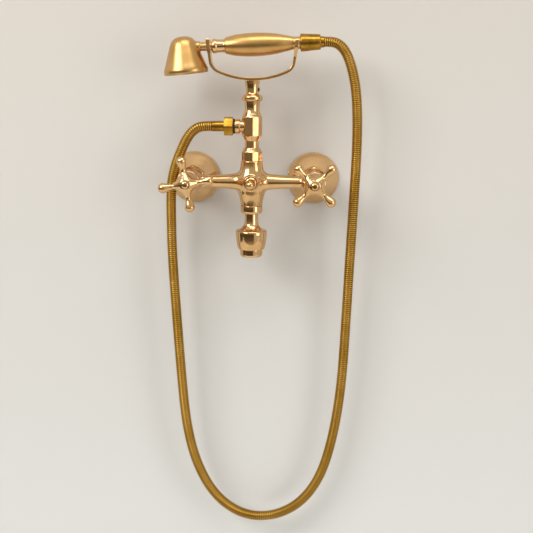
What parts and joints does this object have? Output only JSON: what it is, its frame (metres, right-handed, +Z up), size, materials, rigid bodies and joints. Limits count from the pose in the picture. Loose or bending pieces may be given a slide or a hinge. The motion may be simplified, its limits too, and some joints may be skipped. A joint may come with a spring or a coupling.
{
  "type": "wall mounted bath faucet",
  "caption": "Wall mounted bath mixer with cross handles, a short spout, a pull-out diverter knob and a telephone hand shower on a hose, resting in a forked cradle above it.",
  "frame": {"origin": "midway between the wall inlet studs, on the finished wall", "axes": "+X to the right seen from the room, +Y into the wall, +Z up; the room is towards -Y"},
  "size_m": [0.2399, 0.1176, 0.6259],
  "materials": {
    "polished_brass": "polished",
    "satin_brass": "satin brushed",
    "aged_brass": "aged, deep yellow",
    "plain_brass": "machined",
    "rubber": "matte",
    "ceramic": "lapped",
    "white_plastic": "moulded",
    "dark_steel": "dark",
    "hose_brass": "corrugated, aged brass"
  },
  "bodies": {
    "root": {"aerator_housing": "satin_brass", "aerator_insert": "white_plastic", "aerator_washer": "rubber", "column_nut": "polished_brass", "column_pillar": "polished_brass", "column_seal": "rubber", "cradle": "satin_brass", "cradle_grub_screws": "dark_steel", "cradle_stem": "satin_brass", "diverter_gland": "polished_brass", "hex_nut_washer": "rubber", "hose_hex_nut": "aged_brass", "hose_tube": "hose_brass", "left_fixed_disc": "ceramic", "left_inlet_union": "plain_brass", "left_seat_seal": "rubber", "left_union_nut": "polished_brass", "left_union_washer": "rubber", "left_valve_bonnet": "plain_brass", "left_wall_rosette": "satin_brass", "mixer_body": "polished_brass", "outlet_gasket": "rubber", "outlet_hose_ferrule": "aged_brass", "outlet_nipple": "aged_brass", "right_fixed_disc": "ceramic", "right_inlet_union": "plain_brass", "right_seat_seal": "rubber", "right_union_nut": "polished_brass", "right_union_washer": "rubber", "right_valve_bonnet": "plain_brass", "right_wall_rosette": "satin_brass", "spout_neck": "polished_brass", "spout_nozzle": "polished_brass", "spout_ring": "satin_brass", "spout_seal": "rubber"},
    "left_valve": {"left_valve_spindle": "plain_brass", "left_moving_disc": "ceramic", "left_handle": "polished_brass", "left_handle_grub": "dark_steel"},
    "right_valve": {"right_valve_spindle": "plain_brass", "right_moving_disc": "ceramic", "right_handle": "polished_brass", "right_handle_grub": "dark_steel"},
    "diverter": {"diverter_stem": "plain_brass", "diverter_piston": "rubber", "diverter_knob": "polished_brass"},
    "handset": {"head_shell": "satin_brass", "spray_rose": "satin_brass", "rose_seal": "rubber", "handset_neck": "satin_brass", "handset_ferrule": "satin_brass", "handset_grip": "satin_brass", "grip_tube": "white_plastic", "handset_tail": "aged_brass", "hose_cone_nut": "aged_brass", "cone_nut_washer": "rubber", "handset_hose_ferrule": "aged_brass"}
  },
  "joints": [
    {"name": "left_valve_turn", "type": "hinge", "parent": "root", "child": "left_valve", "pos_m": [-0.075, -0.0945, 0.0015], "axis": [0, -1, 0], "range_deg": [0, 90]},
    {"name": "right_valve_turn", "type": "hinge", "parent": "root", "child": "right_valve", "pos_m": [0.075, -0.0945, 0.0015], "axis": [0, -1, 0], "range_deg": [-90, 0]},
    {"name": "diverter_pull", "type": "slide", "parent": "root", "child": "diverter", "axis": [0, -1, 0], "range_m": [0, 0.008]},
    {"name": "hand_shower_lift", "type": "slide", "parent": "root", "child": "handset", "axis": [-0.0471, 0, 0.9989], "range_m": [0, 0.0145]}
  ]
}
